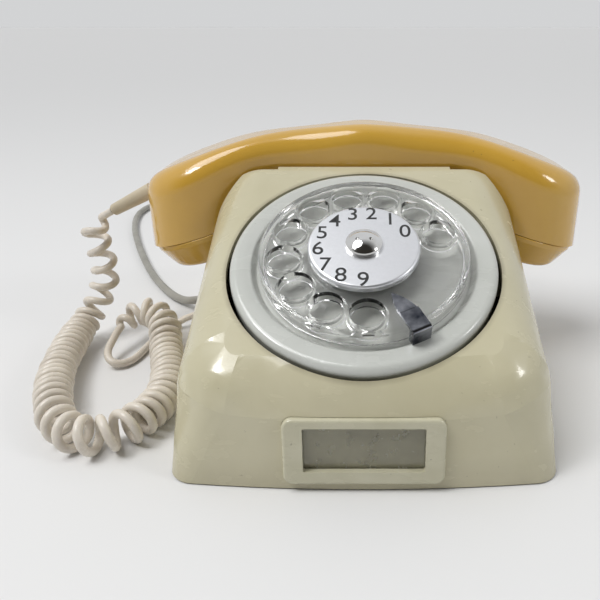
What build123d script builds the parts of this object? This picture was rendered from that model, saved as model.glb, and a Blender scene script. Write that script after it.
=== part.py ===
from build123d import *
import math
import os

# Rotary desk telephone, millimetres. Origin: centre of the object's bottom, +X right seen from the front,
# -Y the front, +Z up. The dial is square to the sloped top of the housing.

# ---------------------------------------------------------------- driving dimensions
WIDTH = 154.0
DEPTH = 216.0
WALL = 2.5
DRAFT = 5.0
FORM_TOP = 115.0
TOP_WIDTH = 141.0
CORNER_R = 11.0
TOP_CORNER_R = 62.0
FRONT_BOW = 4.5
SHELL_BOTTOM = 0.6
SLOPE = 27.0
SLOPE_AT_ORIGIN = 95.4
CROWN_Z = 101.2
EDGE_R = 24.0

DIAL_CENTRE = (0, -48.84, 72.73)
OPENING_R = 58.5
RING_R = 56.8
WHEEL_R = 44.2
WHEEL_TOP = 5.85
HOLE_R = 7.1
HOLE_CIRCLE_R = 33.5
HOLE_STEP = 28.2
FIRST_HOLE = 18.5
PLATE_R = 23.4
PLATE_TOP = 8.8
RUNNING_GAP = 0.05

HANDSET_Y = 30.0
CUP_X = 85.4
CUP_R = 27.6
CUP_TILT = 17.0
SEAM_Z = 64.4
HANDLE_BOTTOM = 95.4
GROOVE_FLOOR = 95.0
CHANNEL_HALF = 17.2
DROP_HALF = 22.0
SCOOP_R = 34.0

CAPSULE_R = 22.0
CAP_FACE_R = 21.0
HANDSET_DATUM = 40.0
HANDSET_SECTIONS = [(0, 16.8, 118.4), (54, 18.6, 112.6), (84, 27.1, 103.6), (97, 25.2, 98.6),
                    (106, 18.8, 94.0), (111.6, 8.4, 87.5)]
RELIEF_LENGTH = 26.0

FRAME_W = 61.2
FRAME_H = 27.4
FRAME_PROUD = 1.8
CARD_W = 46.0
CARD_H = 18.4
CARD_RAISED = 0.9
CARD_PLUG_W = 54.0
CARD_PLUG_H = 24.6

SHAFT_R = 3.0
PIVOT_R = 1.5
CARRIER_R = 50.0
CARRIER_LOW = -11.5
CARRIER_HIGH = -9.6
BRIDGE_LOW = -27.5
BRIDGE_T = 1.5
SPRING_LOW = -16.5
DRIVE_LOW = -21.0
IMPULSE_GEAR_LOW = -15.8
GEAR_T = 2.2
DRIVE_TEETH = 48
PINION_TEETH = 12
IMPULSE_TEETH = 36
TOOTH_SHARE = 0.45
TO_IMPULSE = 215.0
TO_GOVERNOR = 290.0
STOP_ANGLE = -63.0
LEG_X = 46.5

PLATE_Z = 3.0
PLATE_T = 1.5
FLOOR_Z = PLATE_Z + PLATE_T
BOSSES = [(-60, -90), (60, -90), (-60, 88), (60, 88)]
BOSS_R = 4.5
SCREW_R = 1.7
SCREW_TOP = 16.0
FEET = [(-55, -74), (55, -74), (-55, 74), (55, 74)]
PLUNGER_X = 30.0
PLUNGER_R = 4.0
BAR_Z = 58.0
BRACKET_Z = 38.0
GONG_X = 30.0
GONG_Y = 74.0
GONG_R = 24.0
CLAPPER_Y = 42.0

CURL_OD = 17.0
STRAND_D = 4.0
LINE_D = 5.0
GROMMET_R = 4.2
EXIT_Z = 9.0
TAIL_EXIT_Y = 36.0
LINE_EXIT_Y = 58.0
COIL_AT = (-5, 168)
COIL_MEAN_R = 28.0
COIL_BAND = 20.0
COIL_H = 11.0
PLUG_AT = (84, 165)

os.makedirs("parts", exist_ok=True)

SIN = math.sin(math.radians(SLOPE))
COS = math.cos(math.radians(SLOPE))
DIAL = Plane(origin=DIAL_CENTRE, x_dir=(1, 0, 0), z_dir=(0, -SIN, COS))
LEAN = math.radians(DRAFT)
CARD_Z = 17.3
CARD = Plane(origin=(0, -DEPTH / 2 + (CARD_Z - SHELL_BOTTOM) * math.tan(LEAN), CARD_Z), x_dir=(1, 0, 0),
             z_dir=(0, -math.cos(LEAN), math.sin(LEAN)))
RELIEF = Plane(origin=(-111, HANDSET_Y, 84.0), x_dir=(0, 1, 0), z_dir=(-2, 0, -1))


def polar(radius, degrees):
    return radius * math.cos(math.radians(degrees)), radius * math.sin(math.radians(degrees))


IMPULSE_AT = polar((DRIVE_TEETH + PINION_TEETH) / 2, TO_IMPULSE)
GOVERNOR_STEP = polar((IMPULSE_TEETH + PINION_TEETH) / 2, TO_GOVERNOR)
GOVERNOR_AT = (IMPULSE_AT[0] + GOVERNOR_STEP[0], IMPULSE_AT[1] + GOVERNOR_STEP[1])


def save(name, *solids):
    """Write one node: each argument is a shape, and all its solids go in the one file."""
    found = [solid for shape in solids for solid in shape.solids()]
    export_step(found[0] if len(found) == 1 else Compound(children=found), f"parts/{name}.step")


def disc(radius, low, high, x=0.0, y=0.0):
    """A cylinder between two heights."""
    return Pos(x, y, low) * extrude(Circle(radius), high - low)


def ring(outer, inner, low, high, x=0.0, y=0.0):
    return disc(outer, low, high, x, y) - disc(inner, low - 1, high + 1, x, y)


def block(x, y, z):
    """A box from three (low, high) pairs."""
    size = (x[1] - x[0], y[1] - y[0], z[1] - z[0])
    return Pos(sum(x) / 2, sum(y) / 2, sum(z) / 2) * Box(*size)


def on_dial(shape):
    return DIAL.location * shape


def side_prism(points, half_width):
    """A prism across X from (y, z) points."""
    face = Plane.YZ * make_face(Polyline(*points, close=True))
    return extrude(face, half_width, both=True)


# ---------------------------------------------------------------- housing
def outline_at(z, width, depth, corner_r, inset):
    """A level slice of the form: straight sides, gently bowed front and rear, rounded corners."""
    x = width / 2 - inset
    y = depth / 2 - inset
    corner = y - FRONT_BOW
    front = ThreePointArc((-x, -corner), (0, -y), (x, -corner))
    rear = ThreePointArc((x, corner), (0, y), (-x, corner))
    face = make_face([front, Line((x, -corner), (x, corner)), rear, Line((-x, corner), (-x, -corner))])
    return Pos(0, 0, z) * fillet(face.vertices(), corner_r - inset)


def slope_z(y, inset=0.0):
    return SLOPE_AT_ORIGIN + y * math.tan(math.radians(SLOPE)) - inset / COS


def top_rim(form):
    """The edges where the slope, the crown and the rear slope meet the walls."""
    tops = [face for face in form.faces() if face.normal_at(face.center()).Z > 0.4]
    edges = [edge for face in tops for edge in face.edges()]
    return [edge for edge in edges if sum(edge.is_same(other) for other in edges) == 1]


def housing_form(inset):
    """The outer form for inset 0, and the hollow inside it for the wall's thickness."""
    top_depth = DEPTH - 2 * (FORM_TOP - SHELL_BOTTOM) * math.tan(math.radians(DRAFT))
    block_form = loft([outline_at(SHELL_BOTTOM, WIDTH, DEPTH, CORNER_R, inset),
                       outline_at(FORM_TOP, TOP_WIDTH, top_depth, TOP_CORNER_R, inset)])
    crown = CROWN_Z - inset
    ridge_y = (crown - slope_z(0, inset)) / math.tan(math.radians(SLOPE))
    outline = FilletPolyline(
        (-130, -5), (-130, slope_z(-130, inset)), (ridge_y, crown), (58, crown - 2),
        (112 - inset, 36 - inset), (130, 14), (130, -5),
        radius=[1, 40, 45, 20, 1], close=False)
    face = Plane.YZ * make_face([*outline.edges(), Line((130, -5), (-130, -5))])
    form = block_form & extrude(face, 100, both=True)
    return fillet(top_rim(form), EDGE_R - inset)


def cradle_cutter(grow):
    """The handset's channel over the crown, its dropped ends, and the two scoops for the cups."""
    floor = GROOVE_FLOOR - grow
    bottom = CHANNEL_HALF + grow
    top = bottom + (130 - GROOVE_FLOOR) / 2
    channel = side_prism([(HANDSET_Y - bottom, floor), (HANDSET_Y + bottom, floor),
                          (HANDSET_Y + top, 130), (HANDSET_Y - top, 130)], 75)
    ends = []
    for side in (-1, 1):
        drop = [(42, floor), (42, 130), (90, 130), (90, 70), (56, 83 - grow)]
        drop = [(side * x, z) for x, z in drop]
        face = Plane.XZ * make_face(Polyline(*drop, close=True))
        ends.append(Pos(0, HANDSET_Y, 0) * extrude(face, DROP_HALF + grow, both=True))
        ends.append(disc(SCOOP_R + grow, 38 - grow, 140, side * CUP_X, HANDSET_Y))
    return channel + ends


def housing_part():
    shell = housing_form(0) - cradle_cutter(0)
    hollow = housing_form(WALL) - cradle_cutter(WALL)
    shell = shell - hollow
    for x, y in BOSSES:
        boss = disc(BOSS_R, FLOOR_Z + 0.1, 80, x, y) & hollow
        shell = shell + boss - disc(SCREW_R + RUNNING_GAP, 0, SCREW_TOP + 2, x, y)
    shell = shell - on_dial(disc(OPENING_R, -14, 12))
    shell = shell - CARD.location * rounded_slab(CARD_PLUG_W, CARD_PLUG_H, 2, -6, 6)
    shell = shell - CARD.location * rounded_slab(FRAME_W + 0.4, FRAME_H + 0.4, 4, -1, 5)
    for side in (-1, 1):
        shell = shell - disc(PLUNGER_R + 0.3, 80, 110, side * PLUNGER_X, HANDSET_Y)
    for y in (TAIL_EXIT_Y, LINE_EXIT_Y):
        shell = shell - block((-85, -70), (y - GROMMET_R - 0.05, y + GROMMET_R + 0.05), (0, EXIT_Z))
        shell = shell - Pos(-85, y, EXIT_Z) * Rot(0, 90, 0) * extrude(Circle(GROMMET_R + 0.05), 15)
    return shell


# ---------------------------------------------------------------- base plate and what stands on it
def base_plate():
    plate = Pos(0, 0, PLATE_Z) * extrude(RectangleRounded(WIDTH - 8, DEPTH - 20, 12), PLATE_T)
    for x, y in BOSSES:
        plate = plate - disc(SCREW_R + RUNNING_GAP, 0, 10, x, y)
    for x, y in FEET:
        plate = plate - disc(3.1, 0, 10, x, y)
    return plate


def foot(x, y):
    return disc(8, 0, PLATE_Z, x, y) + disc(3, PLATE_Z, FLOOR_Z, x, y) + disc(4.5, FLOOR_Z, FLOOR_Z + 2, x, y)


def base_screw(x, y):
    head = disc(3.4, 1.0, PLATE_Z, x, y) - block((x - 2.2, x + 2.2), (y - 0.5, y + 0.5), (0.5, 1.8))
    return head + disc(SCREW_R, PLATE_Z, SCREW_TOP, x, y)


# ---------------------------------------------------------------- card window in the apron
def rounded_slab(width, height, corner, low, high):
    return Pos(0, 0, low) * extrude(RectangleRounded(width, height, corner), high - low)


def card_frame():
    flange = fillet(rounded_slab(FRAME_W, FRAME_H, 3.8, -0.95, FRAME_PROUD).edges().group_by(Axis.Z)[-1], 1.2)
    plug = rounded_slab(CARD_PLUG_W - 0.2, CARD_PLUG_H - 0.2, 1.8, -4, -0.95)
    window = Pos(0, CARD_RAISED, 0) * rounded_slab(CARD_W, CARD_H, 0.8, -1, 3)
    pocket = Pos(0, CARD_RAISED, 0) * rounded_slab(CARD_W + 4, CARD_H + 3, 1, -5, -0.9)
    return CARD.location * (flange + plug - window - pocket)


def card_slab(low, high, trim):
    slab = rounded_slab(CARD_W + 4 - trim, CARD_H + 3 - trim, 0.9, low, high)
    return CARD.location * Pos(0, CARD_RAISED, 0) * slab


# ---------------------------------------------------------------- dial: the fixed pieces
def dial_ring():
    """Moulded ring with a rounded lip, a floor under the wheel and a skirt inside the housing."""
    half = FilletPolyline(
        (4.5, -5), (46.5, -5), (53, -9.5), (RING_R, -9.5), (RING_R, 0), (47.6, 0), (45.6, -3), (4.5, -3),
        radius=[1, 1, 0.6, 3.0, 1.2, 0.8], close=False)
    face = Plane.XZ * make_face([*half.edges(), Line((4.5, -3), (4.5, -5))])
    return revolve(face, Axis.Z) - disc(6.2, -6, 0)


def dial_carrier():
    plate = disc(CARRIER_R, CARRIER_LOW, CARRIER_HIGH) + disc(6, CARRIER_LOW - 1, -3.5)
    plate = plate - disc(SHAFT_R + RUNNING_GAP, -20, 0)
    for x, y in (IMPULSE_AT, GOVERNOR_AT):
        plate = plate - disc(PIVOT_R + RUNNING_GAP, -20, 0, x, y)
    return plate


def dial_bridge():
    plate = Pos(-8, -12, BRIDGE_LOW) * extrude(RectangleRounded(58, 78, 8), BRIDGE_T)
    plate = plate - disc(SHAFT_R + RUNNING_GAP, -40, 0)
    for x, y in (IMPULSE_AT, GOVERNOR_AT):
        plate = plate - disc(PIVOT_R + RUNNING_GAP, -40, 0, x, y)
    return plate + ring(10.5, 9.3, BRIDGE_LOW + BRIDGE_T, -18, *GOVERNOR_AT)


def dial_leg(side):
    """A flat leg with a foot, from the base plate up to the carrier."""
    under = [DIAL.from_local_coords((0, y, CARRIER_LOW)) for y in (-17, 17)]
    low, high = ((p.Y, p.Z) for p in under)
    leg = Pos(side * LEG_X, 0, 0) * side_prism([(low[0], FLOOR_Z), (high[0], FLOOR_Z), high, low], 1)
    hole = Pos(side * LEG_X, (low[0] + high[0]) / 2, 30) * Rot(0, 90, 0) * Cylinder(9, 8)
    toe = block((side * LEG_X - 8, side * LEG_X + 8), (low[0], high[0]), (FLOOR_Z, FLOOR_Z + 1.5))
    return leg + toe - hole


def finger_stop():
    """A chrome hook: a foot beside the wheel, a bar over its rim and a pointed blade inwards."""
    foot_block = block((45.4, 48.4), (-4, 4), (0, 7.8))
    bar = block((37.5, 48.4), (-4, 4), (6.5, 7.8))
    blade = make_face([Line((37.6, -4), (37.6, 3.4)), Spline((37.6, 3.4), (32, 1.4), (27.4, -2.0)),
                       Spline((27.4, -2.0), (32, -3.6), (37.6, -4))])
    blade = Pos(0, 0, 6.5) * extrude(blade, 1.3)
    hook = foot_block + bar
    hook = fillet(hook.edges().filter_by(Axis.Y).sort_by(Axis.Z)[-1:], 0.5)
    outer_edge = [e for e in hook.edges().filter_by(Axis.Y) if e.center().X > 48 and e.center().Z > 7]
    hook = fillet(outer_edge, 1.5) if outer_edge else hook
    return Rot(0, 0, STOP_ANGLE) * (hook + blade)


# ---------------------------------------------------------------- dial: the turning pieces
def hole_places():
    for k in range(10):
        angle = math.radians(FIRST_HOLE + k * HOLE_STEP)
        yield HOLE_CIRCLE_R * math.cos(angle), HOLE_CIRCLE_R * math.sin(angle)


def finger_wheel():
    """Clear disc with a deep rim, a hub, and a short collar round each hole."""
    half = FilletPolyline(
        (SHAFT_R + 0.02, -0.5), (12, -0.5), (12, 2.85), (WHEEL_R - 2.4, 2.85), (WHEEL_R - 2.4, -1.6),
        (WHEEL_R, -1.6), (WHEEL_R, WHEEL_TOP), (SHAFT_R + 0.02, WHEEL_TOP),
        radius=[0.5, 0.5, 0.8, 0.8, 0.8, 1.4], close=False)
    face = Plane.XZ * make_face([*half.edges(), Line((SHAFT_R + 0.02, WHEEL_TOP), (SHAFT_R + 0.02, -0.5))])
    wheel = revolve(face, Axis.Z)
    for x, y in hole_places():
        wheel = wheel + (disc(HOLE_R + 1.2, 0.2, 3.5, x, y) & disc(WHEEL_R - 0.5, 0, 4))
    for x, y in hole_places():
        wheel = wheel - disc(HOLE_R, -3, 7, x, y)
    return wheel


def number_plate():
    lid = disc(PLATE_R, WHEEL_TOP, PLATE_TOP)
    lid = fillet(lid.edges().group_by(Axis.Z)[-1], 1.2)
    return lid - disc(PLATE_R - 1, WHEEL_TOP - 1, PLATE_TOP - 1) - disc(SHAFT_R, 0, 12)


def wheel_cap():
    dome = disc(7.6, PLATE_TOP, PLATE_TOP + 1.5) + Pos(0, 0, PLATE_TOP - 7.4) * Sphere(11.2)
    dome = dome & disc(7.6, PLATE_TOP, PLATE_TOP + 5)
    for x in (-2.8, 2.8):
        dome = dome - disc(0.8, PLATE_TOP + 1, PLATE_TOP + 6, x)
    return dome


def spiral_spring():
    """Flat coiled return spring, drawn as half rings that grow by half a pitch each."""
    spring = None
    radius = SHAFT_R + 1
    for k in range(7):
        centre = 0.35 if k % 2 else -0.35
        half_ring = ring(radius + 0.4, radius, SPRING_LOW, SPRING_LOW + 3, centre)
        keep = block((-20, 20), (0, 20) if k % 2 else (-20, 0), (SPRING_LOW - 1, SPRING_LOW + 4))
        half_ring = half_ring & keep
        spring = half_ring if spring is None else spring + half_ring
        radius = radius + 0.7
    return spring


def gear(teeth, thickness, bore):
    """Spur gear of module 1 on 20 degree involute flanks, with slim teeth for running clearance."""
    pitch_r = teeth / 2
    base_r = pitch_r * math.cos(math.radians(20))
    tip_r = pitch_r + 0.85
    root_r = pitch_r - 1.2
    involute_at = math.tan(math.radians(20)) - math.radians(20)
    half_tooth = TOOTH_SHARE * math.pi / teeth
    start_r = max(base_r, root_r)
    flank = []
    for k in range(5):
        r = start_r + (tip_r - start_r) * k / 4
        roll = math.acos(min(1.0, base_r / r))
        flank.append((r, half_tooth + involute_at - (math.tan(roll) - roll)))
    outline = [(root_r, flank[0][1])] + flank if root_r < start_r - 0.01 else flank
    right = [(r * math.cos(-a), r * math.sin(-a)) for r, a in outline]
    left = [(r * math.cos(a), r * math.sin(a)) for r, a in reversed(outline)]
    inside = (root_r - 0.6)
    foot_a = outline[0][1]
    close_left = (inside * math.cos(foot_a), inside * math.sin(foot_a))
    close_right = (inside * math.cos(foot_a), -inside * math.sin(foot_a))
    tooth = extrude(make_face(Polyline(close_right, *right, *left, close_left, close=True)), thickness)
    body = extrude(Circle(root_r), thickness)
    body = body + [Rot(0, 0, 360 * k / teeth) * tooth for k in range(teeth)]
    return body - extrude(Circle(bore), thickness)


def meshed(teeth, thickness, bore, x, y, low, toward, gap_first):
    """A gear at (x, y) turned so that a tooth, or a gap, points along the given angle."""
    turn = toward + (180 / teeth if gap_first else 0)
    return Pos(x, y, low) * Rot(0, 0, turn) * gear(teeth, thickness, bore)


# ---------------------------------------------------------------- handset
def handset_section(x, half_width, top):
    """One slice across the handset: a tall rounded rectangle whose top is the arch."""
    height = top - HANDSET_DATUM
    where = Plane(origin=(x, HANDSET_Y, HANDSET_DATUM + height / 2), x_dir=(0, 1, 0), z_dir=(1, 0, 0))
    return where * RectangleRounded(2 * half_width, height, min(half_width * 0.55, 13))


def handset_under():
    """Side view below the arch: tilted seams at the cups and the hollow for the cradle."""
    drop = math.tan(math.radians(CUP_TILT))
    end = (125, SEAM_Z - drop * (125 - CUP_X))
    heel = (60.6, SEAM_Z + drop * (CUP_X - 60.6))
    throat = Spline(heel, (58.6, 84), (52, 92.4), (41, HANDLE_BOTTOM))
    right = [Line((125, 140), end), Line(end, heel), throat]
    left = [Spline((-41, HANDLE_BOTTOM), (-52, 92.4), (-58.6, 84), (-heel[0], heel[1])),
            Line((-heel[0], heel[1]), (-end[0], end[1])), Line((-end[0], end[1]), (-125, 140))]
    bar = Line((41, HANDLE_BOTTOM), (-41, HANDLE_BOTTOM))
    return make_face([*right, bar, *left, Line((-125, 140), (125, 140))])


def cup_plane(side):
    tilt = math.radians(CUP_TILT)
    down = (-side * math.sin(tilt), 0, -math.cos(tilt))
    return Plane(origin=(side * CUP_X, HANDSET_Y, SEAM_Z), x_dir=(0, 1, 0), z_dir=down)


def handset_shell():
    left = [handset_section(-x, half, top) for x, half, top in reversed(HANDSET_SECTIONS[1:])]
    right = [handset_section(x, half, top) for x, half, top in HANDSET_SECTIONS]
    body = loft(left + right) & (Pos(0, HANDSET_Y, 0) * extrude(Plane.XZ * handset_under(), 40, both=True))
    lower = [e for e in body.edges()
             if abs(e.center().X) < 75 and e.center().Z < 97 and abs(e.center().Y - HANDSET_Y) > 10]
    body = fillet(lower, 5)
    for side in (-1, 1):
        body = body - cup_plane(side).location * disc(CAPSULE_R + 1, -14, 1)
    return body - RELIEF.location * (disc(3.55, -14, 5) + disc(4.2, 0.9, 8))


def handset_cap(side):
    """Screw-on cap: tapered wall, rounded face, sound holes."""
    wall = FilletPolyline((0, 0.3), (CUP_R, 0.3), (CUP_R - 0.3, 2.8), (CAP_FACE_R, 15.5), (0, 15.5),
                          radius=[0.4, 1.5, 6], close=False)
    face = Plane.XZ * make_face([*wall.edges(), Line((0, 15.5), (0, 0.3))])
    cap = revolve(face, Axis.Z) - disc(CAPSULE_R + 0.6, -1, 8.6) - disc(CAPSULE_R - 4, 8, 13)
    count = 6
    for k in range(count):
        angle = 2 * math.pi * k / count
        cap = cap - disc(1.3, 12, 20, 8 * math.cos(angle), 8 * math.sin(angle))
    return cup_plane(side).location * (cap - disc(1.3, 12, 20))


def capsule(side):
    case = disc(CAPSULE_R, -9, 8) + disc(CAPSULE_R - 5, 8, 11)
    return cup_plane(side).location * fillet(case.edges().group_by(Axis.Z)[-1], 1)


def relief():
    """Sleeve where the curly cord leaves the mouthpiece end of the handset."""
    half = FilletPolyline(
        (0, -10), (3.5, -10), (3.5, 1), (4.1, 1.2), (3.1, RELIEF_LENGTH), (0, RELIEF_LENGTH),
                          radius=[0.2, 0.05, 0.2, 0.8], close=False)
    face = Plane.XZ * make_face([*half.edges(), Line((0, RELIEF_LENGTH), (0, -10))])
    return RELIEF.location * revolve(face, Axis.Z)


# ---------------------------------------------------------------- cords
def route_radii(points):
    """The largest arc that each corner of a route allows."""
    radii = []
    for before, here, after in zip(points, points[1:], points[2:]):
        run_in = Vector(*here) - Vector(*before)
        run_out = Vector(*after) - Vector(*here)
        turn = math.radians(run_in.get_angle(run_out))
        radii.append(0.45 * min(run_in.length, run_out.length) / math.tan(turn / 2))
    return radii


def cord_tube(name, points, diameter):
    radii = route_radii(points)
    path = FilletPolyline(*points, radius=radii, close=False)
    start = Plane(origin=points[0], z_dir=Vector(*points[1]) - Vector(*points[0]))
    tube = sweep(start * Circle(diameter / 2), path=path)
    print(name, "length", round(path.length), "volume ratio",
          round(tube.volume / (path.length * math.pi * diameter ** 2 / 4), 3),
          "radii", [round(r) for r in radii])
    save(name, tube)


def grommet(y, cord_d):
    """Moulded relief in the housing's side: a plug in the wall and a tapered tail."""
    collar = GROMMET_R + 1
    half = FilletPolyline(
        (0, 0), (GROMMET_R, 0), (GROMMET_R, 6.2), (collar, 6.4), (collar, 7.6),
        (cord_d / 2 + 0.9, 9), (cord_d / 2 + 0.5, 24), (0, 24),
        radius=[0.3, 0.1, 0.1, 0.4, 1.5, 0.4], close=False)
    face = Plane.XZ * make_face([*half.edges(), Line((0, 24), (0, 0))])
    return Pos(-72, y, EXIT_Z) * Rot(0, -90, 0) * revolve(face, Axis.Z)


CURL_ROUTE = [
    (-134.9, 30, 72.1), (-147, 30, 66), (-145, 30, 51), (-144, 31, 37), (-148, 30, 24), (-154, 22, 13),
    (-156, 8, 9), (-154, -8, 8.8), (-151, -25, 8.8), (-146, -43, 8.8), (-138, -62, 8.8), (-129, -77, 8.8),
    (-116, -86, 8.8), (-103, -83, 8.8), (-94, -71, 8.8), (-90.5, -55, 8.8), (-93, -37, 8.8), (-99, -20, 9),
    (-104, -4, 11), (-108, 11, 15.5), (-120, 21, 18.5), (-132, 14, 15), (-134, 0, 9)]
TAIL_ROUTE = [
    (-134, 0, 9), (-134.5, -9, 6.5), (-129, -16, 3.5), (-121.5, -11, 2.2), (-119, 2, 2.1), (-117.5, 16, 2.1),
    (-114, 28, 2.1), (-109, 35, 3.6), (-102.5, 36.8, 6.6), (-96, 36, 9)]
LINE_ROUTE = [
    (-96, 58, 9), (-104, 59.5, 7.2), (-112, 65.5, 4.2), (-122, 76, 2.5), (-134, 92, 2.5), (-148, 115, 2.5),
    (-163, 145, 2.5), (-182, 187, 2.5), (-202, 238, 2.5), (-212, 285, 2.5), (-198, 322, 2.5),
    (-162, 331, 2.5), (-128, 308, 2.5), (-105, 268, 2.5), (-80, 236, 2.5), (-57, 212, 2.5), (-45, 191, 2.8),
    (-40.5, 170, 3.3)]
LEAD_ROUTE = [
    (18.8, 141.6, 8.3), (24, 146.6, 8.2), (31, 154.5, 8.4), (40, 162, 9.2), (50, 165, 10)]

# ================================================================ build: housing and base
housing = housing_part()
print("housing", housing.is_valid, len(housing.solids()), round(housing.volume))
save("housing", housing)
save("base_plate", base_plate())
save("rubber_feet", *[foot(x, y) for x, y in FEET])
save("base_screws", *[base_screw(x, y) for x, y in BOSSES])
save("card_frame", card_frame())
save("card_pane", card_slab(-1.75, -0.95, 0.3))
save("name_card", card_slab(-2.8, -1.8, 0.3))

# ================================================================ dial, fixed pieces
save("dial_ring", on_dial(dial_ring()))
save("dial_carrier", on_dial(dial_carrier()))
save("dial_bridge", on_dial(dial_bridge()))
pillars = [on_dial(disc(2.5, BRIDGE_LOW + BRIDGE_T, CARRIER_LOW, x, y))
           for x, y in ((16, 23.5), (18, -34), (-32, 20))]
spacers = [on_dial(disc(3, CARRIER_HIGH, -5, *polar(41, a))) for a in (20, 140, 260)]
save("dial_pillars", *pillars, *spacers)
save("dial_legs", dial_leg(-1), dial_leg(1))
save("finger_stop", on_dial(finger_stop()))
contact_block = block((-36, -31.5), (-35, -29), (BRIDGE_LOW + BRIDGE_T, -20))
leaves = [block((x, x + 0.3), (-29, -11), (-25.5, -23)) for x in (-35.4, -33.6)]
save("impulse_contacts", on_dial(contact_block + leaves))

# ================================================================ dial, turning pieces
save("finger_wheel", on_dial(finger_wheel()))
save("number_plate", on_dial(number_plate()))
save("wheel_cap", on_dial(wheel_cap()))
save("dial_shaft", on_dial(disc(SHAFT_R, BRIDGE_LOW - 1, PLATE_TOP)))
save("drive_gear", on_dial(meshed(DRIVE_TEETH, GEAR_T, SHAFT_R, 0, 0, DRIVE_LOW, TO_IMPULSE, False)))
save("return_spring", on_dial(spiral_spring()))
save("impulse_pinion", on_dial(
    meshed(PINION_TEETH, GEAR_T, PIVOT_R, *IMPULSE_AT, DRIVE_LOW, TO_IMPULSE - 180, True)))
save("impulse_gear", on_dial(
    meshed(IMPULSE_TEETH, GEAR_T, PIVOT_R, *IMPULSE_AT, IMPULSE_GEAR_LOW, TO_GOVERNOR, False)))
lobes = [Rot(0, 0, a) * block((3, 6.4), (-1.5, 1.5), (-25, -23.4)) for a in (0, 180)]
cam = ring(5, PIVOT_R, -25, -23.4) + lobes
save("impulse_cam", on_dial(Pos(*IMPULSE_AT) * cam))
save("impulse_shaft", on_dial(disc(PIVOT_R, BRIDGE_LOW - 1, CARRIER_HIGH, *IMPULSE_AT)))
save("governor_pinion", on_dial(
    meshed(PINION_TEETH, GEAR_T, PIVOT_R, *GOVERNOR_AT, IMPULSE_GEAR_LOW, TO_GOVERNOR - 180, True)))
rotor = ring(4, PIVOT_R, -25, -19) + [Rot(0, 0, a) * block((3, 8.2), (-2, 2), (-24, -20)) for a in (45, 225)]
save("governor_rotor", on_dial(Pos(*GOVERNOR_AT) * rotor))
save("governor_shaft", on_dial(disc(PIVOT_R, BRIDGE_LOW - 1, CARRIER_HIGH, *GOVERNOR_AT)))

# ================================================================ circuit
board = Pos(0, -73, 9) * extrude(RectangleRounded(70, 50, 2), 1.6)
save("circuit_board", board)
save("board_posts", *[disc(2.5, FLOOR_Z, 9, x, y) for x in (-31, 31) for y in (-94, -52)])
coil_core = block((5, 31), (-72, -50), (10.6, 13)) + block((9, 27), (-70, -52), (13, 24))
save("induction_coil", coil_core)
save("capacitors", *[Pos(-17, y, 17) * Rot(0, 90, 0) * Cylinder(6.3, 24) for y in (-70, -56)])
strip = block((-24, 24), (-96, -86), (10.6, 18)) - [disc(2, 15, 20, -20 + 8 * k, -91) for k in range(6)]
save("terminal_strip", strip)

# ================================================================ ringer
bracket = Pos(0, 32, FLOOR_Z) * extrude(RectangleRounded(56, 38, 4), 1.5)
save("ringer_bracket", bracket + disc(PIVOT_R, FLOOR_Z + 1, 22, 0, CLAPPER_Y))
bobbins = []
for side in (-1, 1):
    bobbin = Pos(side * 13, 27, 17) * Rot(90, 0, 0) * Cylinder(8, 20)
    cheeks = [Pos(side * 13, y, 17) * Box(20, 1.5, 20) for y in (17.5, 36.5)]
    core = Pos(side * 13, 28.5, 17) * Rot(90, 0, 0) * Cylinder(3, 21)
    bobbins.append(bobbin + cheeks + core + block((side * 13 - 6, side * 13 + 6), (20, 34), (6, 12)))
save("ringer_coils", *bobbins)
for side, name in ((-1, "gong_left"), (1, "gong_right")):
    dome = Pos(0, 0, 13) * (Sphere(GONG_R) - Sphere(GONG_R - 1.6))
    dome = scale(dome & disc(30, 13, 60), by=(1, 1, 0.5))
    dome = Pos(side * GONG_X, GONG_Y, 6.5) * dome
    save(name, dome - disc(2.05, 0, 60, side * GONG_X, GONG_Y))
posts = [disc(3.5, FLOOR_Z, 22.8, side * GONG_X, GONG_Y) + disc(2, 22, 25.2, side * GONG_X, GONG_Y)
         + disc(4, 25.2, 27, side * GONG_X, GONG_Y) for side in (-1, 1)]
save("gong_posts", *posts)
clapper = disc(4, 10, 20, 0, CLAPPER_Y) + block((-19, 19), (CLAPPER_Y - 1, CLAPPER_Y + 1.5), (12, 19))
clapper = clapper + block((-1, 1), (CLAPPER_Y, GONG_Y), (14, 16)) + Pos(0, GONG_Y, 15) * Sphere(3.6)
save("clapper", clapper - disc(PIVOT_R + RUNNING_GAP, 5, 30, 0, CLAPPER_Y))

# ================================================================ hook switch
tray = block((-41, 41), (22, 38), (BRACKET_Z - 1.5, BRACKET_Z))
bracket = tray + [block((x - 0.75, x + 0.75), (22, 38), (FLOOR_Z, BRACKET_Z)) for x in (-40.25, 40.25)]
save("hook_bracket", bracket)
save("hook_contacts", block((-8, 8), (23, 25), (BRACKET_Z, 48)) + [
    block((x - 2, x + 2), (23.8, 24.2), (48, 57)) for x in (-5, 0, 5)])
save("hook_bar", block((-36, 36), (27, 33), (BAR_Z, BAR_Z + 3)))
plungers = [disc(PLUNGER_R, BAR_Z + 3, HANDLE_BOTTOM - 0.3, side * PLUNGER_X, HANDSET_Y) for side in (-1, 1)]
save("hook_plungers", *[fillet(p.edges().group_by(Axis.Z)[-1], 1) for p in plungers])
coil_path = Helix(pitch=4.2, height=16.8, radius=4)
wire = sweep(Plane(origin=coil_path @ 0, z_dir=coil_path % 0) * Circle(0.5), path=coil_path)
save("hook_springs", *[Pos(side * PLUNGER_X, HANDSET_Y, BRACKET_Z + 1.6) * wire for side in (-1, 1)])

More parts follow.
